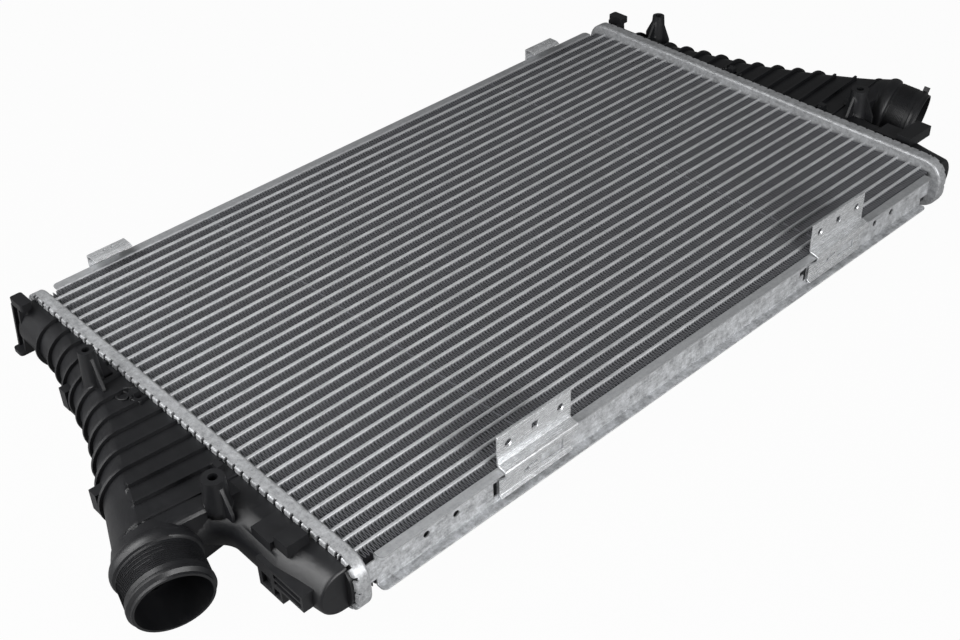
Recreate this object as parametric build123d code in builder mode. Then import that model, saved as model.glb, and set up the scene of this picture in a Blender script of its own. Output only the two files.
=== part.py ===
from build123d import *
import os
from math import acos, atan2, cos, hypot, radians, sin

# A car's charge-air intercooler: a brazed aluminium core of flat tubes and corrugated fins, with a slotted
# header at each end and a moulded tank crimped into each header.
# X runs along the tubes, Y across them and Z through the core's depth, upwards as it lies.
# The origin is under the middle of the core, on the level that the undersides of the hose stubs rest on.

# Core
core_length = 658.0
tube_count = 33
tube_thickness = 3.0
tube_depth = 32.0
tube_wall = 0.4
fin_height = 9.0
fin_wave = 13.0
fin_sheet = 0.25
fin_setback = 2.0
rows_per_bank = 4
turbulator_sheet = 0.2
turbulator_wave = 6.0
turbulator_setback = 10.0

# Headers
header_floor = 2.0
header_wall = 1.6
header_end_reach = 11.0
header_side_reach = 8.0
header_corner = 19.0
header_bend = 2.5
trough_depth = 10.0
lip_width = 3.0
lip_thickness = 1.6
lip_round = 1.4
tab_pitch = 9.4
tab_gap = 3.0
tab_root = 9.4
tab_overcut = 1.0
corner_tab_turns = (25, 55, 83)
tube_stand = 2.5

# Gaskets and the feet of the tanks
gasket_thickness = 2.0
foot_width = 5.0
foot_clearance = 0.3
neck_clearance = 0.4

# Tanks
tank_wall = 2.8
rib_height = 3.3
rib_width = 2.2
neck_rib_height = 1.2
rib_pitch = 18.8
rib_first_y = -84.7
rib_count = 14
# how far out from the middle the first ribs by the stub end
short_rib_ends = (435.6, 410.2, 403.4)
rib_setback = 0.5
neck_overlap = 2.0
tank_end_y = 207.0
tank_end_round = 13.0
body_end_y = -100.5
body_end_round = 9.0
body_end_steps = 4
round_turns = (0, 25, 45, 62, 75)
# the dome's centre line and radius, from the closed end to the stub: y, distance from the middle, radius
dome_stations = (
    (tank_end_y, 341.8, 19.2),
    (135.0, 342.3, 19.4),
    (47.0, 365.0, 19.8),
    (28.0, 371.0, 20.2),
    (-29.0, 394.8, 22.2),
    (-66.0, 406.8, 26.2),
    (body_end_y, 418.0, 30.8),
)
arm_radius = 20.0
arm_x = 350.5
arm_end_y = -203.5
arm_end_round = 3.0
# the same for the arm that runs on past the stub, beyond its straight stretch
arm_stations = ((-162.0, arm_x, arm_radius), (-182.0, 347.4, 19.3), (arm_end_y, 345.5, 18.6))
crotch_radius = 19.0
crotch_y = -119.5

# Hose stubs
stub_x = 419.2
stub_y = -103.0
stub_turn = 15.0
stub_droop = 9.2
stub_reach = 29.2
# radius and depth behind the shoulder of the stub's root inside the dome, its waist, its crown and its front
stub_root = (25.5, 22.0)
stub_waist = (29.3, 11.0)
stub_crown = (32.2, 4.5)
stub_front = (31.3, 0.8)
seat_radius = 29.7
bore_radius = 26.5
bead_radius = 30.7
bead_start = 21.5
bead_width = 4.5
bead_round = 1.1
rim_radius = 28.4
ring_height = 0.45
ring_slope = 0.7
ring_pitch = 1.5
ring_count = 11
ring_start = 1.5

# Screw bosses: distance from the middle, y, top, radius at the top, hole radius
stub_boss = (366.3, -98.4, 44.1, 8.2, 3.5)
left_boss = (360.0, 72.0, 51.0, 6.3, 3.0)
right_post = (358.0, 143.5, 43.0, 6.0, 3.0)
boss_hole_depth = 20.0
boss_root = 14.0
boss_spread = 2.2
gusset_thickness = 2.4
gusset_drop = 5.0
gusset_foot = 2.0
boss_gusset_reach = 9.0

# Lugs on the tanks
block_y = -163.0
block_length = 14.5
block_top = 28.0
block_inner_x = 344.5
left_block_outer_x = 362.0
right_block_outer_x = 378.0
pad_y = -144.0
pad_length = 21.0
pad_top = 22.0
pad_outer_x = 364.5
block_depth = 10.0
end_lug_inner_x = 347.5
end_lug_outer_x = 357.8
end_lug_near_y = 185.0
end_lug_far_y = 203.5
end_lug_round = 2.0
end_lug_top = 28.5
end_lug_plate = 6.0
end_column_length = 13.0
end_column_lean = 4.0
end_lug_foot = -21.0
end_foot_reach = 4.5
end_foot_thickness = 3.5
end_foot_round = 3.0
end_pocket_wall = 2.5
end_pocket_depth = 5.0
socket_inner_x = 352.0
socket_outer_x = 372.0
socket_near_y = -196.0
socket_step_y = -172.0
socket_far_y = -146.5
socket_bottom = -4.8
socket_low_bottom = -16.3
socket_top = 9.5
socket_depth = 3.0
# y and height from and to of the open bays in the socket's outer face
socket_bays_y_z = (
    (-193.6, -165.0, 3.2, 7.1),
    (-193.6, -165.0, -2.4, 1.4),
    (-160.6, -150.6, -12.0, -1.0),
    (-169.6, -163.4, -13.9, -7.2),
)
latch_places = ((346.5, 36.0), (347.5, -72.0))
latch_length = 7.0
latch_width = 5.0
latch_top = 25.5
side_lug_places = ((377.5, 94.0), (418.0, -18.5))
side_lug_length = 9.0
side_lug_reach = 14.0
side_lug_top = 9.0
side_lug_bottom = -9.0
side_lug_step = 4.0
stub_lug_width = 8.0
stub_lug_height = 4.0
stub_lug_length = 5.0
stub_lug_turn = 60.0

# Side plates
plate_sheet = 1.2
plate_channel = 8.5
plate_half_length = 318.5
plate_corner = 4.0
plate_bend = 1.6
tongue_width = 18.0
plate_hole_radius = 2.8
front_plate_holes = (-274.3, -247.4, 244.8, 269.8)
plate_slot_x = 141.6
plate_slot_length = 8.0
plate_slot_height = 5.0
web_slot_width = 4.2
web_slot_height = 13.0
web_slot_z = -3.0

# Folded brackets and hooks
clip_sheet = 1.5
clip_clearance = 0.3
clip_bend = 1.7
clip_top_setback = 1.5
bracket_width = 71.5
bracket_top = 44.3
bracket_centres = (-172.9, 183.0)
bracket_hole_radius = 3.3
bracket_hole_reach = 25.5
bracket_hole_z = 34.0
bracket_square = 6.4
clip_lower_z = 5.5
clip_shoulder_drop = 4.5
clip_foot_z = -9.5
clip_lip_reach = 2.6
clip_lip_drop = 2.2
window_start = 5.5
window_end = 28.0
window_top = 3.0
window_bottom = -6.5
notch_x = -9.0
notch_width = 5.0
notch_height = 3.6
notch_arm_length = 8.0
notch_arm_height = 2.6
hook_top = 27.8
hook_reach = 4.5
hook_lead = 2.0
hook_drop = 1.6
hook_tongue = 7.0
hook_width = 35.0
hook_centres = (-265.0, 248.3)
hook_hole_radius = 1.2

# Worked out from the sizes above
face_x = core_length / 2
tube_pitch = tube_thickness + fin_height
row_count = tube_count + 1
core_half_width = (tube_count * tube_pitch + fin_height) / 2
half_depth = tube_depth / 2
header_half_length = core_half_width + header_end_reach
header_half_height = half_depth + header_side_reach
tube_centres = [(k - (tube_count - 1) / 2) * tube_pitch for k in range(tube_count)]
row_centres = [(k - (row_count - 1) / 2) * tube_pitch for k in range(row_count)]
gasket_x = face_x + header_floor
foot_x = gasket_x + gasket_thickness
lip_x = face_x + trough_depth
neck_x = lip_x + lip_thickness
foot_inset = header_wall + foot_clearance
neck_inset = header_wall + lip_width + neck_clearance
neck_half_height = header_half_height - neck_inset
elbow_radius = crotch_radius + arm_radius
bead_edge = bead_start + bead_width - bead_round
core_height = bead_edge * sin(radians(stub_droop)) + bead_radius * cos(radians(stub_droop))


def level(z):
    """A level plane, z above the middle of the core."""
    return Plane.XY.offset(core_height + z)


def across(x):
    """An upright plane across the tubes, with Y and Z as its own axes."""
    return Plane(origin=(x, 0, core_height), x_dir=(0, 1, 0), z_dir=(1, 0, 0))


def along(y):
    """An upright plane along the tubes, with X and Z as its own axes."""
    return Plane(origin=(0, y, core_height), x_dir=(1, 0, 0), z_dir=(0, -1, 0))


def save(piece, name):
    piece.part.label = name
    export_step(piece.part, f"parts/{name}.step")


def zigzag(start, end, wave, height, sheet):
    """The outline of a folded strip from start to end, whose crests touch both sides of the height."""
    folds = max(2, round(2 * (end - start) / wave))
    step = (end - start) / folds
    rise = sheet / cos(atan2(height, step))
    upper = []
    lower = []
    for k in range(folds + 1):
        x = start + k * step
        crest = height / 2 if k % 2 else rise - height / 2
        upper.append((x, crest))
        lower.append((x, crest - rise))
    return upper + lower[::-1]


def tube(y):
    length = 2 * (gasket_x + tube_stand)
    with BuildPart() as piece:
        with BuildSketch(across(-length / 2)):
            with Locations((y, 0)):
                SlotOverall(tube_depth, tube_thickness, rotation=90)
                SlotOverall(
                    tube_depth - 2 * tube_wall,
                    tube_thickness - 2 * tube_wall,
                    rotation=90,
                    mode=Mode.SUBTRACT,
                )
        extrude(amount=length)
    return piece


def fin_bank(rows):
    """Some rows of folded fins, each as high as the space between two tubes."""
    reach = face_x - fin_setback
    outline = zigzag(-reach, reach, fin_wave, fin_height, fin_sheet)
    with BuildPart() as piece:
        with BuildSketch(level(-half_depth)):
            for y in rows:
                with BuildLine():
                    Polyline([(x, y + rise) for x, rise in outline], close=True)
                make_face()
        extrude(amount=tube_depth)
    return piece


def turbulator_set():
    """A folded strip inside each tube, touching both of its flat walls."""
    reach = half_depth - tube_thickness / 2
    gap = tube_thickness - 2 * tube_wall
    outline = zigzag(-reach, reach, turbulator_wave, gap, turbulator_sheet)
    length = 2 * (gasket_x + tube_stand - turbulator_setback)
    with BuildPart() as piece:
        with BuildSketch(across(-length / 2)):
            for y in tube_centres:
                with BuildLine():
                    Polyline([(y + rise, z) for z, rise in outline], close=True)
                make_face()
        extrude(amount=length)
    return piece


def header_shape(inset, mode=Mode.ADD):
    """The header's rounded outline, drawn in by the inset."""
    RectangleRounded(
        2 * (header_half_length - inset),
        2 * (header_half_height - inset),
        header_corner - inset,
        mode=mode,
    )


def tab_places():
    """Places of the gaps between the crimped tabs, with the turn of each, round the header's outline."""
    straight = header_half_length - header_corner
    count = int(2 * straight / tab_pitch)
    places = []
    for k in range(count + 1):
        y = (k - count / 2) * tab_pitch
        places.append((y, header_half_height, 90))
        places.append((y, -header_half_height, 90))
    corner_z = header_half_height - header_corner
    for turn in corner_tab_turns:
        y = straight + header_corner * cos(radians(turn))
        z = corner_z + header_corner * sin(radians(turn))
        places += [(y, z, turn), (-y, z, -turn), (y, -z, -turn), (-y, -z, turn)]
    places += [(header_half_length, 0, 0), (-header_half_length, 0, 0)]
    return places


def header(side):
    with BuildPart() as piece:
        with BuildSketch(across(side * face_x)):
            header_shape(0)
        extrude(amount=side * (neck_x - face_x))
        inner_face = piece.faces().filter_by(Axis.X).sort_by(Axis.X)[0 if side > 0 else -1]
        fillet(inner_face.outer_wire().edges(), radius=header_bend)
        outer_face = piece.faces().filter_by(Axis.X).sort_by(Axis.X)[-1 if side > 0 else 0]
        fillet(outer_face.outer_wire().edges(), radius=lip_round)
        with BuildSketch(across(side * gasket_x)):
            header_shape(header_wall)
        extrude(amount=side * (lip_x - gasket_x), mode=Mode.SUBTRACT)
        with BuildSketch(across(side * lip_x)):
            header_shape(header_wall + lip_width)
        extrude(amount=side * lip_thickness, mode=Mode.SUBTRACT)
        with BuildSketch(across(side * face_x)):
            with Locations([(y, 0) for y in tube_centres]):
                SlotOverall(tube_depth, tube_thickness, rotation=90)
        extrude(amount=side * header_floor, mode=Mode.SUBTRACT)
        with BuildSketch(across(side * (face_x + tab_root))):
            for y, z, turn in tab_places():
                with Locations((y, z)):
                    Rectangle(2 * (header_wall + lip_width + tab_overcut), tab_gap, rotation=turn)
        extrude(amount=side * (neck_x - face_x), mode=Mode.SUBTRACT)
    return piece


def gasket(side):
    with BuildPart() as piece:
        with BuildSketch(across(side * gasket_x)):
            header_shape(foot_inset)
            header_shape(foot_inset + foot_width, mode=Mode.SUBTRACT)
        extrude(amount=side * gasket_thickness)
    return piece


def dome_at(y):
    """The dome's centre and radius at y, between the stations."""
    for (y_a, x_a, r_a), (y_b, x_b, r_b) in zip(dome_stations, dome_stations[1:]):
        if y >= y_b:
            break
    share = (y_a - y) / (y_a - y_b)
    return x_a + share * (x_b - x_a), r_a + share * (r_b - r_a)


def tank_section(side, centre, radius, inset, start_x):
    """A flat-topped section with a half-round outer side, drawn in by the inset."""
    half_height = neck_half_height - inset
    radius = radius - inset
    reach = hypot(centre - start_x, half_height)
    turn = atan2(half_height, start_x - centre) - acos(min(1, radius / reach))
    if turn < radians(90):
        turn = radians(90)
    tangent_x = centre - radius * cos(turn)
    tangent_z = radius * sin(turn)
    with BuildLine() as outline:
        Line((side * start_x, half_height), (side * tangent_x, tangent_z))
        ThreePointArc(
            (side * tangent_x, tangent_z),
            (side * (centre + radius), 0),
            (side * tangent_x, -tangent_z),
        )
        Line((side * tangent_x, -tangent_z), (side * start_x, -half_height))
        Line((side * start_x, -half_height), (side * start_x, half_height))
    make_face(outline.edges())


def rounded_end(end_y, round_length, towards):
    """Steps of y and inset that round a section off up to the end."""
    steps = []
    for turn in round_turns:
        y = end_y - towards * round_length * (1 - sin(radians(turn)))
        steps.append((y, round_length * (1 - cos(radians(turn)))))
    return steps


def rib_planes():
    return [rib_first_y + k * rib_pitch for k in range(rib_count)]


def body_sections(inset):
    """y, centre, radius and inset of the tank's sections, from the closed end to the stub."""
    sections = []
    for y, extra in reversed(rounded_end(tank_end_y, tank_end_round, 1)):
        centre, radius = dome_at(y)
        sections.append((y - inset, centre, radius, inset + extra))
    for y in reversed(rib_planes()):
        centre, radius = dome_at(y)
        sections.append((y, centre, radius, inset))
    for y, extra in rounded_end(body_end_y, body_end_round, -1)[:body_end_steps]:
        centre, radius = dome_at(y)
        sections.append((y + inset, centre, radius, inset + extra))
    return sections


def arm_sections(inset):
    """The same for the arm that runs on past the stub to the other closed end."""
    sections = [(body_end_y + body_end_round, arm_x, arm_radius, inset)]
    for y, centre, radius in arm_stations[:-1]:
        sections.append((y, centre, radius, inset))
    end_y, centre, radius = arm_stations[-1]
    for y, extra in rounded_end(end_y, arm_end_round, -1):
        sections.append((y + inset, centre, radius, inset + extra))
    return sections


def tank_shell(side, inset, start_x, mode):
    """The two branches and the elbow between them, drawn in by the inset."""
    for sections in (body_sections(inset), arm_sections(inset)):
        slices = []
        for y, centre, radius, total_inset in sections:
            with BuildSketch(along(y)) as slice_here:
                tank_section(side, centre, radius, total_inset, start_x)
            slices.append(slice_here.sketch)
        loft(slices, ruled=True, mode=mode)
    elbow_x = side * (arm_x + elbow_radius)
    with BuildSketch(along(crotch_y)) as bend:
        with Locations((side * arm_x, 0)):
            Circle(arm_radius - inset)
        # nothing of the elbow reaches back past the neck
        with Locations((side * start_x / 2, 0)):
            Rectangle(start_x, 4 * arm_radius, mode=Mode.SUBTRACT)
    revolve(
        bend.sketch,
        axis=Axis((elbow_x, crotch_y, core_height), (0, 0, 1)),
        revolution_arc=-side * 90,
        mode=mode,
    )


def stub_plane(side):
    """A plane at the stub's shoulder, facing along the stub."""
    droop = radians(stub_droop)
    turn = radians(stub_turn)
    direction = (side * sin(turn) * cos(droop), -cos(turn) * cos(droop), -sin(droop))
    return Plane(origin=(side * stub_x, stub_y, core_height), x_dir=(1, 0, 0), z_dir=direction)


def stub_outline():
    """Half of the stub's section: a root that swells to a round shoulder, the ringed seat and the bead."""
    Polyline((0, stub_root[1]), stub_root, stub_waist)
    ThreePointArc(stub_waist, stub_crown, stub_front)
    points = [stub_front, (seat_radius, 0)]
    for k in range(ring_count):
        start = ring_start + k * ring_pitch
        points.append((seat_radius, -start))
        points.append((seat_radius + ring_height, -start - ring_pitch * ring_slope))
        points.append((seat_radius, -start - ring_pitch * ring_slope))
    bead_end = bead_start + bead_width
    points.append((seat_radius, -bead_start))
    points.append((bead_radius, -bead_start - bead_round))
    points.append((bead_radius, bead_round - bead_end))
    points.append((rim_radius, -bead_end - bead_round))
    points.append((rim_radius, -stub_reach))
    points.append((0, -stub_reach))
    points.append((0, stub_root[1]))
    Polyline(points)


def passage_outline():
    """Half of the way through the stub, narrower at its root."""
    root_radius, root = stub_root
    Polyline(
        (0, root - tank_wall),
        (root_radius - tank_wall, root - tank_wall),
        (bore_radius, 0),
        (bore_radius, -stub_reach),
        (0, -stub_reach),
        close=True,
    )


def turned_stub(side, outline, mode=Mode.ADD):
    """The outline, radius and depth behind the shoulder, turned about the stub's axis."""
    front = stub_plane(side)
    with BuildSketch(Plane(front.origin, x_dir=front.x_dir, z_dir=front.y_dir)) as section:
        with BuildLine() as edge:
            outline()
        make_face(edge.edges())
    revolve(section.sketch, axis=Axis(front.origin, front.z_dir), mode=mode)


def boss(side, place):
    """A screw boss on the tank's skin, wider at its foot, with gussets along the tank and to the header."""
    x, y, top, radius, hole = place
    with BuildSketch(level(boss_root)) as lower:
        with Locations((side * x, y)):
            Circle(radius + boss_spread)
    with BuildSketch(level(top)) as upper:
        with Locations((side * x, y)):
            Circle(radius)
    loft((lower.sketch, upper.sketch))
    reach = radius + boss_gusset_reach
    foot = neck_half_height + gusset_foot
    with BuildSketch(along(y)) as gusset:
        with BuildLine():
            Polyline(
                (side * x, boss_root),
                (side * x, top - gusset_drop),
                (side * (x - radius), top - gusset_drop),
                (side * (x - reach), foot),
                (side * (x - reach), boss_root),
                close=True,
            )
        make_face()
    extrude(gusset.sketch, amount=gusset_thickness / 2, both=True)
    with BuildSketch(across(side * x)) as long_gusset:
        with BuildLine():
            Polyline(
                (y - reach, boss_root),
                (y - reach, foot),
                (y - radius, top - gusset_drop),
                (y + radius, top - gusset_drop),
                (y + reach, foot),
                (y + reach, boss_root),
                close=True,
            )
        make_face()
    extrude(long_gusset.sketch, amount=gusset_thickness / 2, both=True)


def boss_hole(side, place):
    x, y, top, radius, hole = place
    with BuildSketch(level(top)) as mouth:
        with Locations((side * x, y)):
            Circle(hole)
    extrude(mouth.sketch, amount=-boss_hole_depth, mode=Mode.SUBTRACT)


def lug_box(side, x_a, x_b, y, length, z_a, z_b, mode=Mode.ADD):
    """A straight-sided lug between two distances from the middle and two heights."""
    with BuildSketch(level(z_a)) as base:
        with Locations((side * (x_a + x_b) / 2, y)):
            Rectangle(x_b - x_a, length)
    extrude(base.sketch, amount=z_b - z_a, mode=mode)


def end_column(side, inset, mode=Mode.ADD):
    """The column under the block, which leans out to the foot, or the pocket in its outer face."""
    inner_x = end_lug_outer_x - end_pocket_depth if inset else end_lug_inner_x
    bottom = end_lug_foot + end_foot_thickness if inset else end_lug_foot
    top = end_lug_top - end_lug_plate
    with BuildSketch(along(end_lug_far_y - inset)) as face:
        with BuildLine():
            Polyline(
                (side * inner_x, top),
                (side * (end_lug_outer_x + inset), top),
                (side * (end_lug_outer_x + end_column_lean + inset), bottom),
                (side * (inner_x + (end_column_lean if inset else 0)), bottom),
                close=True,
            )
        make_face()
    extrude(face.sketch, amount=end_column_length - 2 * inset, mode=mode)


def end_lug(side):
    """A block at the closed end, on a column that runs down the outer side to a rounded foot."""
    centre_x = side * (end_lug_inner_x + end_lug_outer_x) / 2
    with BuildSketch(level(end_lug_top)) as block:
        with Locations((centre_x, (end_lug_far_y + end_lug_near_y) / 2)):
            RectangleRounded(
                end_lug_outer_x - end_lug_inner_x, end_lug_far_y - end_lug_near_y, end_lug_round
            )
    extrude(block.sketch, amount=-end_lug_plate)
    end_column(side, 0)
    foot_end = end_lug_outer_x + end_column_lean + end_foot_reach
    with BuildSketch(level(end_lug_foot)) as foot:
        with Locations((side * (end_lug_inner_x + foot_end) / 2, end_lug_far_y - end_column_length / 2)):
            RectangleRounded(foot_end - end_lug_inner_x, end_column_length, end_foot_round)
    extrude(foot.sketch, amount=end_foot_thickness)


def socket_lug(side):
    """An open-sided socket on the outer side of the arm, with a lower stretch towards the stub."""
    for near_y, bottom in ((socket_near_y, socket_bottom), (socket_step_y, socket_low_bottom)):
        lug_box(
            side, socket_inner_x, socket_outer_x, (near_y + socket_far_y) / 2, socket_far_y - near_y,
            bottom, socket_top,
        )


def socket_bays(side):
    for near_y, far_y, low, high in socket_bays_y_z:
        lug_box(
            side, socket_outer_x - socket_depth, socket_outer_x, (near_y + far_y) / 2, far_y - near_y,
            low, high, mode=Mode.SUBTRACT,
        )


def latches(side):
    """Small latches on the flat top beside the header."""
    for x, y in latch_places:
        lug_box(side, x - latch_width / 2, x + latch_width / 2, y, latch_length, boss_root, latch_top)


def side_lugs(side):
    """Small stepped lugs on the outer side of the dome, between two ribs."""
    for x, y in side_lug_places:
        lug_box(side, x - side_lug_reach, x, y, side_lug_length, side_lug_bottom, side_lug_top)
        lug_box(
            side, x - side_lug_reach, x - side_lug_step / 2, y - side_lug_step, side_lug_length,
            side_lug_bottom - side_lug_step, side_lug_top - side_lug_step,
        )


def stub_lug(side):
    """A small locating lug on the bead, on its upper outer side."""
    turn = radians(stub_lug_turn)
    with BuildSketch(stub_plane(side).offset(bead_start + bead_width - stub_lug_length)) as lug:
        with Locations((side * bead_radius * cos(turn), bead_radius * sin(turn))):
            Rectangle(2 * stub_lug_height, stub_lug_width, rotation=side * stub_lug_turn)
    extrude(lug.sketch, amount=stub_lug_length)


def tank(side, places, block_outer_x):
    with BuildPart() as piece:
        # the foot and the neck that stands up from it through the header's lip
        with BuildSketch(across(side * foot_x)):
            header_shape(foot_inset)
        extrude(amount=side * (lip_x - foot_x))
        with BuildSketch(across(side * foot_x)):
            header_shape(neck_inset)
        extrude(amount=side * (neck_x + neck_overlap - foot_x))
        tank_shell(side, 0, neck_x, Mode.ADD)
        # the stub
        turned_stub(side, stub_outline)
        # the ribs over the skin
        for k, y in enumerate(rib_planes()):
            centre, radius = dome_at(y)
            height = rib_height if k else neck_rib_height
            with BuildSketch(along(y)):
                tank_section(side, centre, radius, -height, neck_x + rib_setback)
                if k < len(short_rib_ends):
                    with Locations((side * (short_rib_ends[k] + centre / 2), 0)):
                        Rectangle(centre, 4 * radius, mode=Mode.SUBTRACT)
            extrude(amount=rib_width / 2, both=True)
        # the bosses and lugs
        for place in places:
            boss(side, place)
        lug_box(
            side, block_inner_x, block_outer_x, block_y, block_length, block_top - block_depth, block_top
        )
        lug_box(side, block_inner_x, pad_outer_x, pad_y, pad_length, 0, pad_top)
        end_lug(side)
        latches(side)
        side_lugs(side)
        if side < 0:
            socket_lug(side)
        else:
            stub_lug(side)
        # the inside
        with BuildSketch(across(side * foot_x)):
            header_shape(foot_inset + foot_width)
        extrude(amount=side * (neck_x - foot_x), mode=Mode.SUBTRACT)
        tank_shell(side, tank_wall, neck_x - tank_wall, Mode.SUBTRACT)
        turned_stub(side, passage_outline, Mode.SUBTRACT)
        for place in places:
            boss_hole(side, place)
        end_column(side, end_pocket_wall, Mode.SUBTRACT)
        if side < 0:
            socket_bays(side)
    return piece


def side_plate(side, holes):
    """A channel that opens outwards, with a narrow tongue at each end up to the header."""
    with BuildPart() as piece:
        with BuildSketch(across(-plate_half_length)):
            with Locations((side * (core_half_width + plate_channel / 2), 0)):
                Rectangle(plate_channel, tube_depth)
        extrude(amount=2 * plate_half_length)
        near_side = piece.edges().filter_by(Axis.X).group_by(Axis.Y)[0 if side > 0 else -1]
        fillet(near_side, radius=plate_bend)
        with BuildSketch(across(-plate_half_length)):
            with Locations((side * (core_half_width + plate_sheet + plate_channel / 2), 0)):
                Rectangle(plate_channel, tube_depth - 2 * plate_sheet)
        extrude(amount=2 * plate_half_length, mode=Mode.SUBTRACT)
        far_side = piece.edges().filter_by(Axis.Z).group_by(Axis.Y)[-1 if side > 0 else 0]
        fillet(far_side, radius=plate_corner)
        with BuildSketch(along(side * core_half_width)):
            Rectangle(core_length, tongue_width)
        extrude(amount=-side * plate_sheet)
        if holes:
            with BuildSketch(along(side * core_half_width)):
                with Locations([(x, 0) for x in holes]):
                    Circle(plate_hole_radius)
                with Locations((plate_slot_x, 0)):
                    Rectangle(plate_slot_length, plate_slot_height)
                for centre in bracket_centres:
                    with Locations((centre - (bracket_width + web_slot_width) / 2, web_slot_z)):
                        Rectangle(web_slot_width, web_slot_height)
            extrude(amount=-side * plate_sheet, mode=Mode.SUBTRACT)
    return piece


def folded_sheet(side, points, centre, width):
    """A strip of sheet folded along the points, given as a distance out from the core and a height."""
    with BuildSketch(across(centre - width / 2)) as section:
        with BuildLine():
            FilletPolyline([(side * (core_half_width + out), z) for out, z in points], radius=clip_bend)
        trace(line_width=clip_sheet)
    extrude(section.sketch, amount=width)


def clip_foot():
    """The folds that go round the side plate's upper flange and down into its channel."""
    around = plate_channel + clip_clearance + clip_sheet / 2
    inside = plate_sheet + clip_clearance + clip_sheet / 2
    over = half_depth + clip_clearance + clip_sheet / 2
    return [
        (around, over - clip_shoulder_drop),
        (inside, clip_lower_z),
        (inside, clip_foot_z),
        (inside + clip_lip_reach, clip_foot_z - clip_lip_drop),
    ], around, over


def bracket(side, centre):
    foot, around, over = clip_foot()
    upright = [(clip_top_setback, bracket_top), (clip_top_setback, over + clip_sheet), (around, over)]
    with BuildPart() as piece:
        folded_sheet(side, upright + foot, centre, bracket_width)
        out = side * (core_half_width + clip_top_setback + clip_sheet)
        with BuildSketch(along(out)):
            for end in (-1, 1):
                with Locations((centre + end * bracket_hole_reach, bracket_hole_z)):
                    Circle(bracket_hole_radius)
            with Locations((centre, bracket_hole_z)):
                Rectangle(bracket_square, bracket_square)
        extrude(amount=side * 2 * clip_sheet, mode=Mode.SUBTRACT)
        out = side * (core_half_width + plate_sheet + clip_clearance + 2 * clip_sheet)
        with BuildSketch(along(out)):
            with Locations((centre + (window_start + window_end) / 2, (window_top + window_bottom) / 2)):
                Rectangle(window_end - window_start, window_top - window_bottom)
            with Locations((centre + notch_x, -notch_height / 2)):
                Rectangle(notch_width, notch_height)
            arm_centre = centre + notch_x + notch_width / 2 + notch_arm_length / 2
            with Locations((arm_centre, 0)):
                Rectangle(notch_arm_length, notch_arm_height)
        extrude(amount=side * 3 * clip_sheet, mode=Mode.SUBTRACT)
    return piece


def hook(side, centre):
    foot, around, over = clip_foot()
    plate_z = hook_top - clip_sheet / 2
    arm = [
        (-hook_reach, plate_z - hook_drop),
        (hook_lead - hook_reach + clip_bend, plate_z),
        (around, plate_z),
    ]
    with BuildPart() as piece:
        folded_sheet(side, arm + foot, centre, hook_width)
        # past the leg, the level top runs on as a tongue
        tongue_end = centre + hook_width / 2
        with BuildSketch(across(tongue_end - hook_tongue)):
            with Locations((side * core_half_width, 0)):
                Rectangle(4 * plate_channel, 2 * (plate_z - clip_sheet))
        extrude(amount=hook_tongue, mode=Mode.SUBTRACT)
        with BuildSketch(level(hook_top)):
            for end in (-1, 1):
                with Locations((centre + end * hook_tongue / 2, side * (core_half_width + around / 2))):
                    Circle(hook_hole_radius)
        extrude(amount=-2 * clip_sheet, mode=Mode.SUBTRACT)
    return piece


os.makedirs("parts", exist_ok=True)

for number, y in enumerate(tube_centres, start=1):
    save(tube(y), f"tube_{number:02d}")
for first in range(0, row_count, rows_per_bank):
    rows = row_centres[first:first + rows_per_bank]
    save(fin_bank(rows), f"fin_bank_{first // rows_per_bank + 1}")
save(turbulator_set(), "turbulators")
save(header(-1), "header_left")
save(header(1), "header_right")
save(gasket(-1), "gasket_left")
save(gasket(1), "gasket_right")
save(tank(-1, (stub_boss, left_boss), left_block_outer_x), "tank_left")
save(tank(1, (stub_boss, right_post), right_block_outer_x), "tank_right")
save(side_plate(-1, front_plate_holes), "side_plate_front")
save(side_plate(1, ()), "side_plate_rear")
save(bracket(-1, bracket_centres[0]), "bracket_front_left")
save(bracket(-1, bracket_centres[1]), "bracket_front_right")
save(hook(1, hook_centres[0]), "hook_rear_left")
save(hook(1, hook_centres[1]), "hook_rear_right")
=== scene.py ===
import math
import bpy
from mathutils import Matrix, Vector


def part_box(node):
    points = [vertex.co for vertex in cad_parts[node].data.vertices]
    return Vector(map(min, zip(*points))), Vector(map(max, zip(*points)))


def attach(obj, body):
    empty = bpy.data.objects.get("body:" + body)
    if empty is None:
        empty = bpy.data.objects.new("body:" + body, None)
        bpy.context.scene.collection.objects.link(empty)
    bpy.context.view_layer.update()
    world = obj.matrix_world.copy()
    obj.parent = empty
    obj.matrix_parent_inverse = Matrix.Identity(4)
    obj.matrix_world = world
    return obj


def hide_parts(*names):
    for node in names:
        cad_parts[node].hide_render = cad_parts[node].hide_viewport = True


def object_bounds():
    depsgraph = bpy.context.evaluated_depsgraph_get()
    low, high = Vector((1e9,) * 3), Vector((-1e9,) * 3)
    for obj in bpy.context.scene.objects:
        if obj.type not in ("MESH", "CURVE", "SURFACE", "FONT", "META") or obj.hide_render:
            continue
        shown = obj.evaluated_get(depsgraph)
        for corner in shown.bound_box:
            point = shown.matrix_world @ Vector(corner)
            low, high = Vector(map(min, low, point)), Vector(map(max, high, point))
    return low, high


bl_info = {
    "name": "Intercooler",
    "version": (1, 0, 0),
    "blender": (4, 5, 0),
    "location": "View3D > Sidebar > Intercooler",
    "description": "Finishes the solids of a charge-air intercooler and sets them on a studio floor",
    "category": "Object",
}

import bmesh
import bpy
from mathutils import Matrix, Vector, noise

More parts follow.
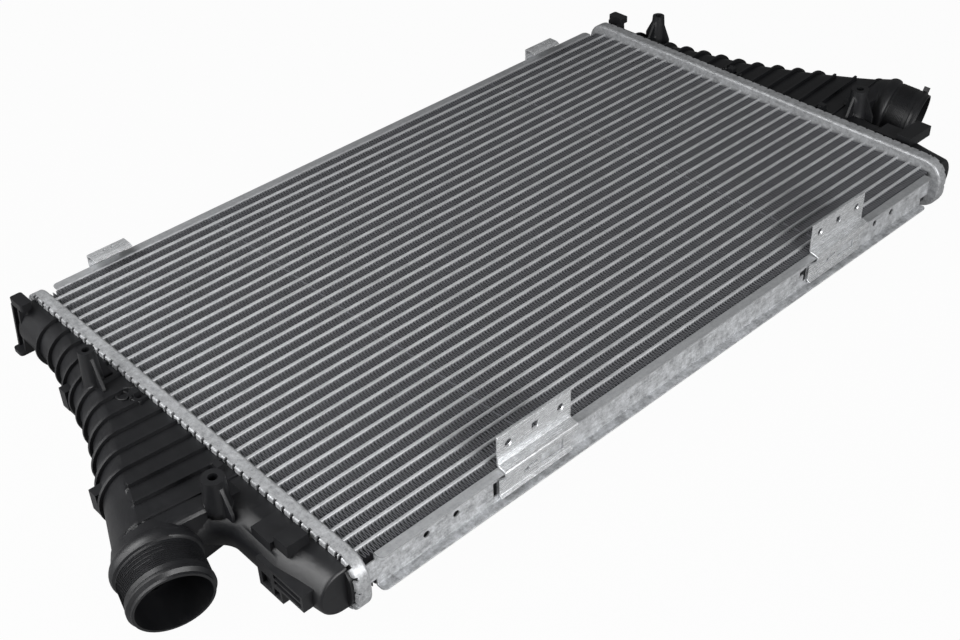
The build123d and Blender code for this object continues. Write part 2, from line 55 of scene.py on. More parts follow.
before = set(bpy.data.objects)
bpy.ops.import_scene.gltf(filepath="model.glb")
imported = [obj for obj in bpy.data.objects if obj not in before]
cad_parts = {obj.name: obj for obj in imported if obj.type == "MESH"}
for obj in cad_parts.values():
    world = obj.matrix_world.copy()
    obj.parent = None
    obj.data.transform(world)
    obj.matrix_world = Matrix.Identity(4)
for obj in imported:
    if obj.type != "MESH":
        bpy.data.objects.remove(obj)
cad_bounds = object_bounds()

MM = 0.001
TUBE_COUNT = 33
ROW_COUNT = TUBE_COUNT + 1
ROWS_PER_BANK = 4

# One whole fold of a fin. Each point has its place along the wave, as a share of the wave's length, and its
# distance from the middle line, as a share of half the row's height.
FOLD_LINE = ((0.0, -1.0), (0.12, -0.75), (0.38, 0.75), (0.5, 1.0), (0.62, 0.75), (0.88, -0.75), (1.0, -1.0))
FOLD_JOIN = 0.01 * MM

# How fast the folds' stray changes: to the metre along a row and up it, and from one row to the next.
STRAY_ALONG = 170
STRAY_UP = 6
STRAY_BETWEEN_ROWS = 7.3

# In a copy of a solid, corners within JOIN_REACH are joined, edges under SHORT_EDGE are closed up, and faces
# side by side that turn by less than FLAT_ANGLE, in degrees, become one.
JOIN_REACH = 0.004 * MM
SHORT_EDGE = 0.002 * MM
FLAT_ANGLE = 0.6

# Angles between faces, in degrees: shading is smooth up to the first of each pair, and edges are rounded past
# the second. The fins' edges aren't rounded. The plain pair is for sheet metal and the latches.
FIN_SMOOTH = 50
TANK_SMOOTH, TANK_SHARP = 32, 35
PLAIN_SMOOTH, PLAIN_SHARP = 35, 40

# A tank's edge is rounded only between faces wider than this.
TANK_LEAST_FACE = 0.8 * MM

# How much rounder a header's edges are than those of the other sheet metal.
HEADER_EDGE_SHARE = 1.6

# The latches of the right tank, in millimetres, with heights over the core's middle. The left tank's are
# mirrored. Each bar has its two ends, seen from above, its width and its top.
LATCH_FOOT = 15
LATCH_BARS = (
    ((343.8, 48.9), (351.2, 34.1), 2.2, 22),
    ((349.6, 46.6), (343.2, 41.0), 2.4, 24),
    ((350.4, 33.4), (347.6, 25.6), 3.4, 22),
    ((344.4, -63.0), (351.0, -76.0), 2.2, 22),
    ((350.2, -66.5), (343.6, -71.5), 2.4, 24),
)
LATCH_LOOP_CENTRE = (353.5, 43.0)
LATCH_LOOP_RADII = (5.0, 6.0)
LATCH_LOOP_WALL = 1.6
LATCH_LOOP_TOP = 21
LATCH_LOOP_STEPS = 28

# Below this depth under their tops, the side plates are painted lighter and more mottled: painted light on
# the channels' webs and lower flanges.
PAINTED_LIGHT_DEPTH = 2.5 * MM

FLOOR_REACH = 9
FLOOR_GAP = 0.4 * MM
WHITE = (1, 1, 1)

# The photograph's view: the camera's place in metres, its axes, and its lens in millimetres.
CAMERA_PLACE = (-0.66760, -0.70382, 0.70681)
CAMERA_AXES = (
    (0.728379, 0.437607, -0.527223),
    (-0.684510, 0.430884, -0.588035),
    (-0.030156, 0.789202, 0.613393),
)
CAMERA_LENS = 51.31


def core_reach():
    """How far the fins run from the middle, along the tubes."""
    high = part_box("fin_bank_1")[1]
    return high.x


def tube_pitch():
    """The distance from one tube to the next."""
    first_low, first_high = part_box("tube_01")
    last_low, last_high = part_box("tube_33")
    return ((last_low.y + last_high.y) - (first_low.y + first_high.y)) / 2 / (TUBE_COUNT - 1)


def row_height():
    """The height of one row of fins, between two tubes."""
    low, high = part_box("fin_bank_9")
    return (high.y - low.y) - tube_pitch()


class IntercoolerSizes(bpy.types.PropertyGroup):
    """Sizes that a user would change."""

    fin_wave: bpy.props.FloatProperty(
        name="Fin wave",
        description="Length of one whole fold of the fins, along the tubes",
        default=2.9 * MM, min=1.5 * MM, max=12 * MM, unit="LENGTH", precision=4,
    )
    fin_sheet: bpy.props.FloatProperty(
        name="Fin sheet",
        description="Thickness of the sheet that the fins are folded from",
        default=0.34 * MM, min=0.05 * MM, max=0.5 * MM, unit="LENGTH", precision=5,
    )
    fin_stray: bpy.props.FloatProperty(
        name="Fin stray",
        description="How far the folds stray from even spacing",
        default=0.2 * MM, min=0, max=1 * MM, unit="LENGTH", precision=5,
    )
    fin_recess: bpy.props.FloatProperty(
        name="Fin recess",
        description="How far the fins' edges lie inside the tubes' noses, above and below",
        default=1.0 * MM, min=0, max=4 * MM, unit="LENGTH", precision=4,
    )
    moulded_edge: bpy.props.FloatProperty(
        name="Moulded edge",
        description="Rounding of the moulded tanks' edges",
        default=0.6 * MM, min=0.1 * MM, max=2 * MM, unit="LENGTH", precision=5,
    )
    sheet_edge: bpy.props.FloatProperty(
        name="Sheet edge",
        description="Rounding of the cut edges of sheet metal",
        default=0.22 * MM, min=0.05 * MM, max=0.7 * MM, unit="LENGTH", precision=5,
    )
    wire_left: bpy.props.FloatProperty(
        name="Left wire mark",
        description="Place along the tubes of the left brazing wire's mark",
        default=-169 * MM, unit="LENGTH",
    )
    wire_right: bpy.props.FloatProperty(
        name="Right wire mark",
        description="Place along the tubes of the right brazing wire's mark",
        default=171 * MM, unit="LENGTH",
    )


class IntercoolerColours(bpy.types.PropertyGroup):
    """Colours that a user would change, as linear values."""

    tube: bpy.props.FloatVectorProperty(
        name="Tubes", description="Bright drawn aluminium of the tubes",
        default=(0.380, 0.387, 0.397), size=3, min=0, max=1, subtype="COLOR",
    )
    # The fins' colour is far darker than bare aluminium: painted shade for the deep gaps between the folds.
    fin: bpy.props.FloatVectorProperty(
        name="Fins", description="Thin aluminium sheet of the fins",
        default=(0.051, 0.052, 0.0558), size=3, min=0, max=1, subtype="COLOR",
    )
    header: bpy.props.FloatVectorProperty(
        name="Headers", description="Brazed aluminium of the headers",
        default=(0.335, 0.341, 0.350), size=3, min=0, max=1, subtype="COLOR",
    )
    plate: bpy.props.FloatVectorProperty(
        name="Side plates", description="Brazed aluminium of the side plates",
        default=(0.310, 0.316, 0.325), size=3, min=0, max=1, subtype="COLOR",
    )
    zinc: bpy.props.FloatVectorProperty(
        name="Brackets", description="Zinc plating of the brackets and hooks",
        default=(0.72, 0.732, 0.745), size=3, min=0, max=1, subtype="COLOR",
    )
    plastic: bpy.props.FloatVectorProperty(
        name="Tanks", description="Glass-filled plastic of the tanks",
        default=(0.0042, 0.0044, 0.0053), size=3, min=0, max=1, subtype="COLOR",
    )
    floor: bpy.props.FloatVectorProperty(
        name="Floor", description="Matt floor under the part, which the camera sees as white",
        default=(0.20, 0.20, 0.20), size=3, min=0, max=1, subtype="COLOR",
    )


class Number:
    """One output of a node, on which sums are written as plain expressions."""

    def __init__(self, nodes, socket):
        self.nodes = nodes
        self.socket = socket

    def _math(self, operation, *values, clamp=False):
        return self.nodes.node(
            "ShaderNodeMath", {"operation": operation, "use_clamp": clamp}, dict(enumerate(values))
        )

    def __add__(self, other):
        return self._math("ADD", self, other)

    def __radd__(self, other):
        return self._math("ADD", other, self)

    def __sub__(self, other):
        return self._math("SUBTRACT", self, other)

    def __rsub__(self, other):
        return self._math("SUBTRACT", other, self)

    def __mul__(self, other):
        return self._math("MULTIPLY", self, other)

    def __rmul__(self, other):
        return self._math("MULTIPLY", other, self)

    def __lt__(self, other):
        return self._math("LESS_THAN", self, other)

    def __gt__(self, other):
        return self._math("GREATER_THAN", self, other)

    def __abs__(self):
        return self._math("ABSOLUTE", self)

    def clamped(self):
        """The number held between 0 and 1."""
        return self._math("ADD", self, 0, clamp=True)

    def sine(self):
        """The sine of the number as an angle in radians."""
        return self._math("SINE", self)


class Nodes:
    """A node tree, to which every node is added by one method."""

    def __init__(self, tree):
        self.tree = tree
        self.tree.nodes.clear()

    def node(self, kind, settings=None, inputs=None, output=0):
        """Any node: its settings are set first, and then the values or links of its sockets.

        It comes back as the number at one of its outputs, or as the node itself where output is None.
        """
        made = self.tree.nodes.new(kind)
        for key, value in (settings or {}).items():
            setattr(made, key, value)
        for key, value in (inputs or {}).items():
            self.put(made.inputs[key], value)
        return made if output is None else Number(self, made.outputs[output])

    def put(self, socket, value):
        """A value or a link for one socket."""
        if isinstance(value, Number):
            self.tree.links.new(value.socket, socket)
        elif hasattr(value, "__len__") and socket.type == "RGBA" and len(value) == 3:
            socket.default_value = (*value, 1)
        else:
            socket.default_value = value

    def background_share(self, eye_share, gloss_share):
        """How much of the white background a ray meets: one share by eye and through glass, one in gloss."""
        eye, gloss, through = (
            self.node("ShaderNodeLightPath", output=ray)
            for ray in ("Is Camera Ray", "Is Glossy Ray", "Is Transmission Ray")
        )
        return (eye + through) * eye_share + gloss * gloss_share


class Finish(Nodes):
    """A material made of nodes round one principled shader."""

    def __init__(self, name):
        self.material = bpy.data.materials.new(name)
        self.material.use_nodes = True
        super().__init__(self.material.node_tree)
        self.surface = self.node("ShaderNodeBsdfPrincipled", output="BSDF")
        self.shader = self.surface.socket.node
        self.output = self.node("ShaderNodeOutputMaterial", inputs={"Surface": self.surface}, output=None)

    def place(self):
        """The place of a point on the object itself, in metres."""
        return self.node("ShaderNodeTexCoord", output="Object")

    def parts(self, vector):
        """A vector's x, y and z."""
        split = self.node("ShaderNodeSeparateXYZ", inputs={0: vector}, output=None)
        return [Number(self, socket) for socket in split.outputs]

    def stretched(self, vector, scale):
        """The place with each axis scaled, so that a pattern runs along the object."""
        return self.node("ShaderNodeMapping", inputs={"Vector": vector, "Scale": scale})

    def noise(self, vector, scale, detail, roughness):
        """Soft noise from 0 to 1, with that many spots to the metre."""
        return self.node(
            "ShaderNodeTexNoise",
            inputs={"Vector": vector, "Scale": scale, "Detail": detail, "Roughness": roughness},
        )

    def cells(self, vector, scale):
        """The grey of a random cell, as in a plating's spangle."""
        cell = self.node(
            "ShaderNodeTexVoronoi", inputs={"Vector": vector, "Scale": scale}, output="Color"
        )
        return self.parts(cell)[0]

    def spread(self, value, span, onto=(0.0, 1.0)):
        """The value's span, spread over another one and held to it."""
        inputs = {
            "Value": value, "From Min": span[0], "From Max": span[1], "To Min": onto[0], "To Max": onto[1],
        }
        return self.node("ShaderNodeMapRange", {"clamp": True}, inputs)

    def mix(self, factor, first, second):
        """Two colours mixed by a factor."""
        return self.node(
            "ShaderNodeMix", {"data_type": "RGBA"}, {0: factor, 6: first, 7: second}, output=2
        )

    def shades(self, tone, colour, dark, light):
        """One colour from a dark shade of it, where the tone is 0, to a light one, where it is 1."""
        return self.mix(tone, shade(colour, dark), shade(colour, light))

    def bump(self, height, distance, strength):
        """A bump from a height, straight into the shader."""
        made = self.node(
            "ShaderNodeBump", inputs={"Height": height, "Distance": distance, "Strength": strength}
        )
        self.put(self.shader.inputs["Normal"], made)

    def feed(self, **values):
        """Constants and links for the shader's own sockets."""
        for key, value in values.items():
            self.put(self.shader.inputs[key.replace("_", " ").title().replace("Ior", "IOR")], value)


def shade(colour, share):
    """A colour made darker or lighter."""
    return tuple(min(1.0, part * share) for part in colour)


def drawn_aluminium(colour):
    """The tubes: bright and even, with the cloudiness and the small dull specks left by brazing."""
    finish = Finish("drawn_aluminium")
    place = finish.place()
    cloud = finish.noise(finish.stretched(place, (1, 5, 5)), scale=70, detail=4, roughness=0.62)
    speck = finish.noise(place, scale=800, detail=2, roughness=0.5)
    tone = finish.spread(cloud * 0.6 + speck * 0.4, (0.36, 0.66))
    finish.feed(
        base_color=finish.shades(tone, colour, dark=0.76, light=1.14),
        metallic=0.35,
        roughness=finish.spread(cloud, (0.3, 0.7), onto=(0.40, 0.58)),
    )
    finish.bump(speck, distance=0.06 * MM, strength=0.5)
    return finish.material


def folded_fin(colour, marks, top):
    """The fins: thin sheet painted dark as shade between the folds, with a lighter band painted along their
    lit top edges, fine louvres across it and two wire marks over them.
    """
    mark_half_width = 0.8 * MM
    mark_depth = 1.2 * MM
    louvre_pitch = 1.3 * MM
    finish = Finish("folded_fin")
    place = finish.place()
    x, _, z = finish.parts(place)
    cloud = finish.noise(place, scale=140, detail=4, roughness=0.65)
    # The whole sheet is painted dark, as painted shade between the folds.
    dull = finish.shades(finish.spread(cloud, (0.32, 0.7)), colour, dark=0.62, light=1.25)
    # Painted highlight: the top 0.6 mm of the fins is lighter, for the light that falls on their edges.
    painted_top_light = finish.spread(z, (top - 0.6 * MM, top - 0.1 * MM))
    sheet_with_painted_top_light = finish.mix(painted_top_light, dull, shade(colour, 3.8))
    left, right = (abs(x - mark) < mark_half_width for mark in marks)
    line = (left + right) * (z > top - mark_depth)
    finish.feed(
        base_color=finish.mix(line.clamped(), sheet_with_painted_top_light, shade(colour, 4.6)),
        metallic=0.5,
        roughness=0.48,
    )
    louvre = (z * (2 * math.pi / louvre_pitch)).sine()
    finish.bump(louvre, distance=0.18 * MM, strength=0.6)
    return finish.material


def brazed_aluminium(name, colour, along, blotch, contrast, painted_light_below=None):
    """Headers and side plates: rolled sheet, mottled grey by brazing, with fine pits and long faint streaks.

    Where a height is given, the sheet below it is painted lighter and more mottled, as painted light.
    """
    finish = Finish(name)
    place = finish.place()
    blot = finish.noise(place, scale=blotch, detail=5, roughness=0.66)
    fine = finish.noise(place, scale=blotch * 4.5, detail=3, roughness=0.62)
    streak = finish.noise(finish.stretched(place, along), scale=60, detail=3, roughness=0.5)
    tone = finish.spread(blot * 0.55 + fine * 0.27 + streak * 0.18, (0.38, 0.62))
    pits = finish.spread(finish.noise(place, scale=700, detail=2, roughness=0.5), (0.64, 0.74))
    sheet = finish.shades(tone, colour, dark=1 - contrast, light=1 + contrast)
    if painted_light_below is not None:
        # Painted light: below the given height the sheet is lighter, with more contrast.
        painted_light_sheet = finish.shades(tone, colour, dark=0.72, light=2.15)
        height = finish.parts(place)[2]
        sheet = finish.mix(height > painted_light_below, painted_light_sheet, sheet)
    finish.feed(
        base_color=finish.mix(pits * 0.4, sheet, shade(colour, 0.4)),
        metallic=finish.spread(blot, (0.35, 0.65), onto=(0.30, 0.50)),
        roughness=finish.spread(fine, (0.3, 0.7), onto=(0.36, 0.56)),
    )
    finish.bump(fine * 0.6 + streak * 0.4, distance=0.25 * MM, strength=0.5)
    return finish.material


def zinc_plating(colour):
    """Brackets and hooks: zinc-plated steel, smooth and bright, with a fine rolled grain and soft spangle."""
    finish = Finish("zinc_plating")
    place = finish.place()
    grain = finish.noise(finish.stretched(place, (1, 14, 14)), scale=160, detail=3, roughness=0.6)
    cloud = finish.noise(place, scale=120, detail=3, roughness=0.5)
    spangle = finish.cells(place, scale=420)
    tone = finish.spread(grain * 0.35 + cloud * 0.4 + spangle * 0.25, (0.28, 0.72))
    finish.feed(
        base_color=finish.shades(tone, colour, dark=0.78, light=1.14),
        metallic=0.7,
        roughness=finish.spread(grain, (0.3, 0.7), onto=(0.22, 0.30)),
    )
    finish.bump(grain, distance=0.05 * MM, strength=0.12)
    return finish.material


def moulded_plastic(colour):
    """The tanks: black glass-filled plastic with a satin skin, faint flow marks and a little pale dust."""
    finish = Finish("moulded_plastic")
    place = finish.place()
    flow = finish.noise(finish.stretched(place, (3, 1, 3)), scale=30, detail=4, roughness=0.6)
    grain = finish.noise(place, scale=1500, detail=2, roughness=0.5)
    dust = finish.spread(finish.noise(place, scale=55, detail=5, roughness=0.7), (0.5, 0.75))
    finish.feed(
        base_color=finish.mix(dust * 0.35, colour, shade(colour, 2.4)),
        roughness=finish.spread(flow * 0.7 + grain * 0.3, (0.3, 0.7), onto=(0.36, 0.52)),
        specular_ior_level=0.45,
    )
    finish.bump(grain, distance=0.08 * MM, strength=0.4)
    return finish.material


def soft_rubber():
    """The gaskets: plain matt rubber."""
    finish = Finish("soft_rubber")
    speck = finish.noise(finish.place(), scale=800, detail=2, roughness=0.5)
    finish.feed(
        base_color=finish.mix(speck, (0.010, 0.010, 0.010), (0.022, 0.022, 0.022)),
        roughness=0.85,
    )
    return finish.material


def pale_floor(colour):
    """The floor: a matt colour that takes the part's shadow, behind the white that the eye sees."""
    finish = Finish("pale_floor")
    finish.feed(base_color=colour, roughness=0.9, specular_ior_level=0.0)
    glow = finish.node("ShaderNodeEmission", inputs={"Color": WHITE, "Strength": 1.0})
    share = finish.background_share(eye_share=0.97, gloss_share=0.10)
    both = finish.node("ShaderNodeMixShader", inputs={0: share, 1: finish.surface, 2: glow})
    finish.put(finish.output.inputs["Surface"], both)
    return finish.material


def dress(node, material):
    """A carried-over solid gets its finish."""
    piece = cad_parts[node]
    piece.data.materials.clear()
    piece.data.materials.append(material)


def mesh_from(bm, name):
    """A bmesh becomes a mesh, and is freed."""
    mesh = bpy.data.meshes.new(name)
    bm.to_mesh(mesh)
    bm.free()
    return mesh


def new_piece(name, bm, material, smooth_angle, nodes=()):
    """A finished mesh becomes a piece that rides on the body and stands for its solids."""
    mesh = mesh_from(bm, name)
    mesh.materials.append(material)
    mesh.shade_smooth()
    mesh.set_sharp_from_angle(angle=math.radians(smooth_angle))
    piece = bpy.data.objects.new(name, mesh)
    bpy.context.scene.collection.objects.link(piece)
    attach(piece, "root")
    if nodes:
        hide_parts(*nodes)
    return piece


def merged_copy(node):
    """A copy of a solid's mesh with its loose triangles joined and its flat faces made whole."""
    bm = bmesh.new()
    bm.from_mesh(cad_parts[node].data)
    bmesh.ops.remove_doubles(bm, verts=bm.verts[:], dist=JOIN_REACH)
    bmesh.ops.dissolve_degenerate(bm, edges=bm.edges[:], dist=SHORT_EDGE)
    bmesh.ops.dissolve_limit(
        bm, angle_limit=math.radians(FLAT_ANGLE), verts=bm.verts[:], edges=bm.edges[:],
        use_dissolve_boundaries=False, delimit={"NORMAL"},
    )
    return bm


def is_wide(face, least_width):
    """Whether a face's area is more than its longest edge times that width."""
    return face.calc_area() > least_width * max(edge.calc_length() for edge in face.edges)


def mark_edges(bm, angle, least_width):
    """Sharp edges are marked for rounding where both faces are wide, so that fine rings keep their shape."""
    weight = bm.edges.layers.float.new("bevel_weight_edge")
    wide = {face for face in bm.faces if is_wide(face, least_width)}
    for edge in bm.edges:
        sharp = edge.is_manifold and edge.calc_face_angle() > math.radians(angle)
        edge[weight] = float(sharp and all(face in wide for face in edge.link_faces))


def round_edges(piece, width, angle=None):
    """Live rounding of the edges sharper than an angle, or else of the marked ones."""
    bevel = piece.modifiers.new("edges", "BEVEL")
    if angle is None:
        bevel.limit_method = "WEIGHT"
    else:
        bevel.limit_method = "ANGLE"
        bevel.angle_limit = math.radians(angle)
    bevel.width = width
    bevel.segments = 2
    bevel.profile = 0.5
    bevel.affect = "EDGES"
    bevel.material = -1
    weighted = piece.modifiers.new("normals", "WEIGHTED_NORMAL")
    weighted.keep_sharp = True


def sheet_piece(name, node, material, edge_width):
    """A solid of sheet metal becomes a piece with its cut edges rounded."""
    piece = new_piece(name, merged_copy(node), material, PLAIN_SMOOTH, (node,))
    round_edges(piece, edge_width, PLAIN_SHARP)


def only_verts(parts):
    """The vertices among the parts that a bmesh operator gives back."""
    return [part for part in parts if isinstance(part, bmesh.types.BMVert)]


def slab(bm, outline, side, bottom, top):
    """A flat outline in millimetres, mirrored where side is -1, and drawn up between two heights."""
    ring = [bm.verts.new((side * x * MM, y * MM, bottom)) for x, y in outline]
    base = bm.faces.new(ring)
    drawn = bmesh.ops.extrude_face_region(bm, geom=[base])["geom"]
    bmesh.ops.translate(bm, verts=only_verts(drawn), vec=(0, 0, top - bottom))


def bar_outline(start, end, width):
    """The outline of a straight bar between two points, in millimetres."""
    start, end = Vector(start), Vector(end)
    run = end - start
    across = Vector((-run.y, run.x)).normalized() * width / 2
    return [start + across, start - across, end - across, end + across]


def latch_loop(bm, side, bottom, top):
    """An upright oval ring: a small round is spun and then drawn out along the tank."""
    mid_x, mid_y = side * LATCH_LOOP_CENTRE[0] * MM, LATCH_LOOP_CENTRE[1] * MM
    outer = LATCH_LOOP_RADII[0] * MM
    inner = outer - LATCH_LOOP_WALL * MM
    corners = ((inner, bottom), (outer, bottom), (outer, top), (inner, top))
    ring = [bm.verts.new((mid_x + reach, mid_y, height)) for reach, height in corners]
    edges = [bm.edges.new((ring[place - 1], ring[place])) for place in range(len(ring))]
    bmesh.ops.spin(
        bm, geom=ring + edges, cent=(mid_x, mid_y, 0), axis=(0, 0, 1), angle=2 * math.pi,
        steps=LATCH_LOOP_STEPS, use_merge=True,
    )
    bmesh.ops.scale(
        bm, verts=joined_verts(ring[0]), vec=(1, LATCH_LOOP_RADII[1] / LATCH_LOOP_RADII[0], 1),
        space=Matrix.Translation((-mid_x, -mid_y, 0)),
    )


def joined_verts(vert):
    """Every vertex that edges join to this one."""
    seen, waiting = {vert}, [vert]
    while waiting:
        for edge in waiting.pop().link_edges:
            for near in edge.verts:
                if near not in seen:
                    seen.add(near)
                    waiting.append(near)
    return list(seen)


def repeat_along(bm, wave, count, start):
    """The first wave of a mesh, from start along X, is copied on and on until there are that many."""
    made = 1
    while made < count:
        step = min(made, count - made)
        taken = [face for face in bm.faces if face.calc_center_median().x < step * wave + start]
        copy = bmesh.ops.duplicate(bm, geom=taken)["geom"]
        bmesh.ops.translate(bm, verts=only_verts(copy), vec=(made * wave, 0, 0))
        made += step


def fin_row(wave, sheet, reach, height, depth, bottom):
    """One row of folded fins on the X axis: one fold's line is drawn up, repeated and made thick."""
    count = round(2 * reach / wave)
    wave = 2 * reach / count
    half = (height - sheet) / 2
    bm = bmesh.new()
    line = [bm.verts.new((along * wave - reach, rise * half, bottom)) for along, rise in FOLD_LINE]
    edges = [bm.edges.new(pair) for pair in zip(line, line[1:])]
    drawn = bmesh.ops.extrude_edge_only(bm, edges=edges)["geom"]
    bmesh.ops.translate(bm, verts=only_verts(drawn), vec=(0, 0, depth))
    repeat_along(bm, wave, count, -reach)
    bmesh.ops.remove_doubles(bm, verts=bm.verts[:], dist=FOLD_JOIN)
    bmesh.ops.recalc_face_normals(bm, faces=bm.faces[:])
    bmesh.ops.solidify(bm, geom=bm.faces[:], thickness=sheet)
    centre = sum((vert.co for vert in bm.verts), Vector()) / len(bm.verts)
    bmesh.ops.translate(bm, verts=bm.verts[:], vec=(0, -centre.y, 0))
    return mesh_from(bm, "fin_row")


def add_row(bm, row_mesh, row, pitch, most_stray):
    """A row of fins is put in its place between two tubes, and its folds stray a little."""
    before = len(bm.verts)
    bm.from_mesh(row_mesh)
    bm.verts.ensure_lookup_table()
    centre = (row - (ROW_COUNT - 1) / 2) * pitch
    for vert in bm.verts[before:]:
        spot = Vector((vert.co.x * STRAY_ALONG, row * STRAY_BETWEEN_ROWS, vert.co.z * STRAY_UP))
        vert.co.x += noise.noise(spot) * most_stray
        vert.co.y += centre


def hold_within(bm, low, high):
    """No vertex lies past these corners, along the tubes or across them."""
    for vert in bm.verts:
        vert.co.x = min(max(vert.co.x, low.x), high.x)
        vert.co.y = min(max(vert.co.y, low.y), high.y)


class FinsOperator(bpy.types.Operator):
    """Folds the rows of fins between the tubes, at their real spacing"""

    bl_idname = "intercooler.fins"
    bl_label = "Fins"

    def execute(self, context):
        sizes = context.scene.intercooler_sizes
        colours = context.scene.intercooler_colours
        low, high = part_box("fin_bank_1")
        top = high.z - sizes.fin_recess
        bottom = low.z + sizes.fin_recess
        material = folded_fin(colours.fin, (sizes.wire_left, sizes.wire_right), top)
        row_mesh = fin_row(
            sizes.fin_wave, sizes.fin_sheet, core_reach(), row_height(), top - bottom, bottom
        )
        pitch = tube_pitch()
        for bank in range(math.ceil(ROW_COUNT / ROWS_PER_BANK)):
            bm = bmesh.new()
            for row in range(bank * ROWS_PER_BANK, min(ROW_COUNT, (bank + 1) * ROWS_PER_BANK)):
                add_row(bm, row_mesh, row, pitch, sizes.fin_stray)
            node = f"fin_bank_{bank + 1}"
            hold_within(bm, *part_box(node))
            new_piece(f"fins_{bank + 1}", bm, material, FIN_SMOOTH, (node,))
        bpy.data.meshes.remove(row_mesh)
        return {"FINISHED"}


class TubesOperator(bpy.types.Operator):
    """Finishes the flat tubes and the strips inside them"""

    bl_idname = "intercooler.tubes"
    bl_label = "Tubes"

    def execute(self, context):
        colours = context.scene.intercooler_colours
        material = drawn_aluminium(colours.tube)
        for number in range(1, TUBE_COUNT + 1):
            dress(f"tube_{number:02d}", material)
        dress("turbulators", material)
        return {"FINISHED"}


class HeadersOperator(bpy.types.Operator):
    """Finishes the headers with their crimped tabs, and the gaskets under the tanks"""

    bl_idname = "intercooler.headers"
    bl_label = "Headers"

    def execute(self, context):
        sizes = context.scene.intercooler_sizes
        colours = context.scene.intercooler_colours
        material = brazed_aluminium(
            "brazed_header", colours.header, along=(5, 1, 5), blotch=220, contrast=0.42
        )
        rubber = soft_rubber()
        for side in ("left", "right"):
            sheet_piece(
                f"header_plate_{side}", f"header_{side}", material,
                sizes.sheet_edge * HEADER_EDGE_SHARE,
            )
            dress(f"gasket_{side}", rubber)
        return {"FINISHED"}


class TanksOperator(bpy.types.Operator):
    """Finishes the moulded tanks with rounded edges"""

    bl_idname = "intercooler.tanks"
    bl_label = "Tanks"

    def execute(self, context):
        sizes = context.scene.intercooler_sizes
        colours = context.scene.intercooler_colours
        material = moulded_plastic(colours.plastic)
        for side in ("left", "right"):
            node = f"tank_{side}"
            bm = merged_copy(node)
            mark_edges(bm, TANK_SHARP, TANK_LEAST_FACE)
            piece = new_piece(f"end_tank_{side}", bm, material, TANK_SMOOTH, (node,))
            round_edges(piece, sizes.moulded_edge)
        return {"FINISHED"}


class LatchesOperator(bpy.types.Operator):
    """Adds the small moulded latches on the tanks' flat tops, with their loops and cross bars"""

    bl_idname = "intercooler.latches"
    bl_label = "Latches"

    def execute(self, context):
        sizes = context.scene.intercooler_sizes
        material = bpy.data.materials["moulded_plastic"]
        low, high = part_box("tube_17")
        middle = (low.z + high.z) / 2
        foot = middle + LATCH_FOOT * MM
        for side, name in ((-1, "left"), (1, "right")):
            bm = bmesh.new()
            for start, end, width, top in LATCH_BARS:
                slab(bm, bar_outline(start, end, width), side, foot, middle + top * MM)
            latch_loop(bm, side, foot, middle + LATCH_LOOP_TOP * MM)
            bmesh.ops.recalc_face_normals(bm, faces=bm.faces[:])
            piece = new_piece(f"latches_{name}", bm, material, PLAIN_SMOOTH)
            round_edges(piece, sizes.moulded_edge / 2, PLAIN_SHARP)
        return {"FINISHED"}


class SidePlatesOperator(bpy.types.Operator):
    """Finishes the two channels along the core's long sides"""

    bl_idname = "intercooler.side_plates"
    bl_label = "Side plates"

    def execute(self, context):
        sizes = context.scene.intercooler_sizes
        colours = context.scene.intercooler_colours
        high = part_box("side_plate_front")[1]
        # The channels are painted lighter below their top flanges, as painted light.
        material = brazed_aluminium(
            "brazed_plate", colours.plate, along=(1, 8, 8), blotch=130, contrast=0.20,
            painted_light_below=high.z - PAINTED_LIGHT_DEPTH,
        )
        for side in ("front", "rear"):
            sheet_piece(f"channel_{side}", f"side_plate_{side}", material, sizes.sheet_edge)
        return {"FINISHED"}


class BracketsOperator(bpy.types.Operator):
    """Finishes the folded brackets and hooks"""

    bl_idname = "intercooler.brackets"
    bl_label = "Brackets and hooks"

    def execute(self, context):
        sizes = context.scene.intercooler_sizes
        colours = context.scene.intercooler_colours
        material = zinc_plating(colours.zinc)
        for name in ("bracket_front_left", "bracket_front_right", "hook_rear_left", "hook_rear_right"):
            sheet_piece(f"folded_{name}", name, material, sizes.sheet_edge)
        return {"FINISHED"}


def set_floor(scene):
    """A wide floor just under the part."""
    bm = bmesh.new()
    bmesh.ops.create_grid(bm, x_segments=1, y_segments=1, size=FLOOR_REACH)
    bmesh.ops.translate(bm, verts=bm.verts[:], vec=(0, 0, cad_bounds[0][2] - FLOOR_GAP))
    mesh = mesh_from(bm, "floor")
    mesh.materials.append(pale_floor(scene.intercooler_colours.floor))
    floor = bpy.data.objects.new("floor", mesh)
    scene.collection.objects.link(floor)


def set_surroundings(scene):
    """Faint even light from all round, behind the white that the eye sees."""
    world = bpy.data.worlds.new("studio")
    scene.world = world
    world.use_nodes = True
    nodes = Nodes(world.node_tree)
    soft = nodes.node("ShaderNodeBackground", inputs={"Color": (0.95, 0.97, 1.0), "Strength": 0.06})
    white = nodes.node("ShaderNodeBackground", inputs={"Color": WHITE, "Strength": 1.0})
    share = nodes.background_share(eye_share=1.0, gloss_share=0.12)
    mixed = nodes.node("ShaderNodeMixShader", inputs={0: share, 1: soft, 2: white})
    nodes.node("ShaderNodeOutputWorld", inputs={"Surface": mixed}, output=None)


def area_lamp(name, place, target, size, power, spread=180):
    """A soft lamp that faces its target, with its power in watts and its spread in degrees."""
    lamp = bpy.data.lights.new(name, "AREA")
    lamp.shape = "RECTANGLE"
    lamp.size, lamp.size_y = size
    lamp.energy = power
    lamp.spread = math.radians(spread)
    holder = bpy.data.objects.new(name, lamp)
    holder.location = place
    holder.rotation_euler = (Vector(target) - Vector(place)).to_track_quat("-Z", "Y").to_euler()
    bpy.context.scene.collection.objects.link(holder)


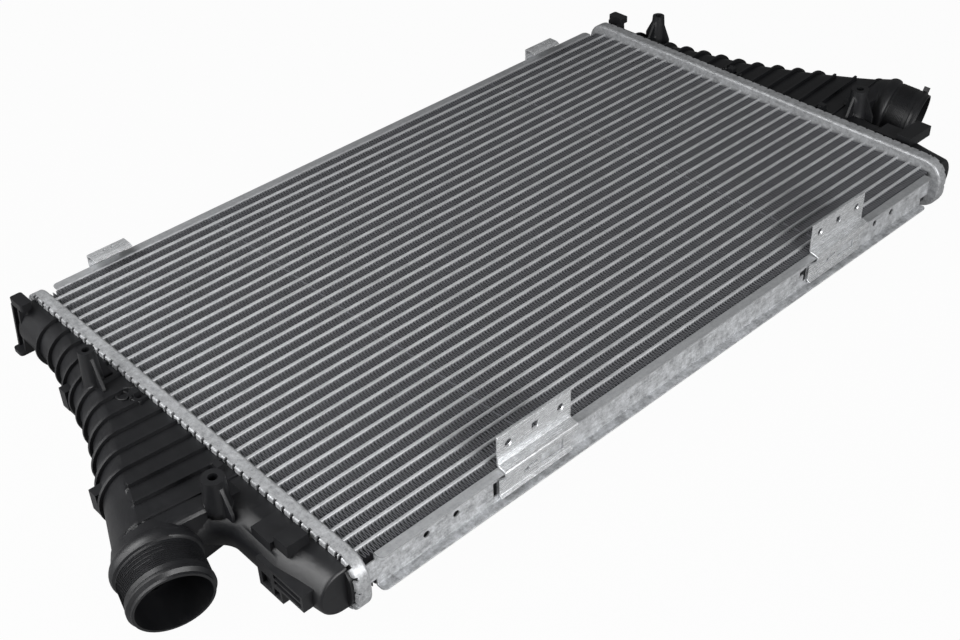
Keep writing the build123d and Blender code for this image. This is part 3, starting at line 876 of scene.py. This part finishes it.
def set_camera(scene):
    """The camera at the photograph's viewing angle."""
    lens = bpy.data.cameras.new("camera")
    lens.lens = CAMERA_LENS
    lens.sensor_width = 36
    lens.clip_start = 0.05
    lens.clip_end = 60
    camera = bpy.data.objects.new("camera", lens)
    camera.location = CAMERA_PLACE
    camera.rotation_euler = Matrix(CAMERA_AXES).to_euler()
    scene.collection.objects.link(camera)
    scene.camera = camera


class StageOperator(bpy.types.Operator):
    """Sets the floor, the soft lamps, the plain surroundings and the camera"""

    bl_idname = "intercooler.stage"
    bl_label = "Stage"

    def execute(self, context):
        scene = context.scene
        scene.view_settings.view_transform = "Standard"
        set_floor(scene)
        set_surroundings(scene)
        area_lamp(
            "key", place=(-0.86, 0.15, 0.86), target=(-0.42, 0, 0.03), size=(0.8, 0.65), power=6.6,
            spread=120,
        )
        area_lamp(
            "left_low", place=(-1.25, 0.10, 0.36), target=(-0.4, 0, 0.04), size=(1.5, 0.6), power=9.5
        )
        area_lamp(
            "front", place=(-0.12, -1.2, 0.48), target=(-0.05, -0.2, 0.02), size=(0.9, 0.5), power=16.5
        )
        area_lamp("overhead", place=(0.3, 0.5, 1.6), target=(0.1, 0, 0.03), size=(1.2, 0.9), power=0.5)
        set_camera(scene)
        return {"FINISHED"}


OPERATORS = (
    FinsOperator,
    TubesOperator,
    HeadersOperator,
    TanksOperator,
    LatchesOperator,
    SidePlatesOperator,
    BracketsOperator,
    StageOperator,
)


class IntercoolerPanel(bpy.types.Panel):
    """Sizes, colours and pieces of the intercooler"""

    bl_idname = "VIEW3D_PT_intercooler"
    bl_label = "Intercooler"
    bl_space_type = "VIEW_3D"
    bl_region_type = "UI"
    bl_category = "Intercooler"

    def draw(self, context):
        layout = self.layout
        for group in (context.scene.intercooler_sizes, context.scene.intercooler_colours):
            column = layout.column(align=True)
            for name in group.__annotations__:
                column.prop(group, name)
        for operator in OPERATORS:
            layout.operator(operator.bl_idname)


CLASSES = (IntercoolerSizes, IntercoolerColours, *OPERATORS, IntercoolerPanel)


def register():
    """Adds the classes, and the sizes and colours of the scene."""
    for each in CLASSES:
        bpy.utils.register_class(each)
    bpy.types.Scene.intercooler_sizes = bpy.props.PointerProperty(type=IntercoolerSizes)
    bpy.types.Scene.intercooler_colours = bpy.props.PointerProperty(type=IntercoolerColours)


def unregister():
    """Takes away what register adds."""
    del bpy.types.Scene.intercooler_colours
    del bpy.types.Scene.intercooler_sizes
    for each in reversed(CLASSES):
        bpy.utils.unregister_class(each)


def main():
    """Makes every piece and the stage."""
    register()
    bpy.ops.intercooler.fins()
    bpy.ops.intercooler.tubes()
    bpy.ops.intercooler.headers()
    bpy.ops.intercooler.tanks()
    bpy.ops.intercooler.latches()
    bpy.ops.intercooler.side_plates()
    bpy.ops.intercooler.brackets()
    bpy.ops.intercooler.stage()


if __name__ == "__main__":
    main()
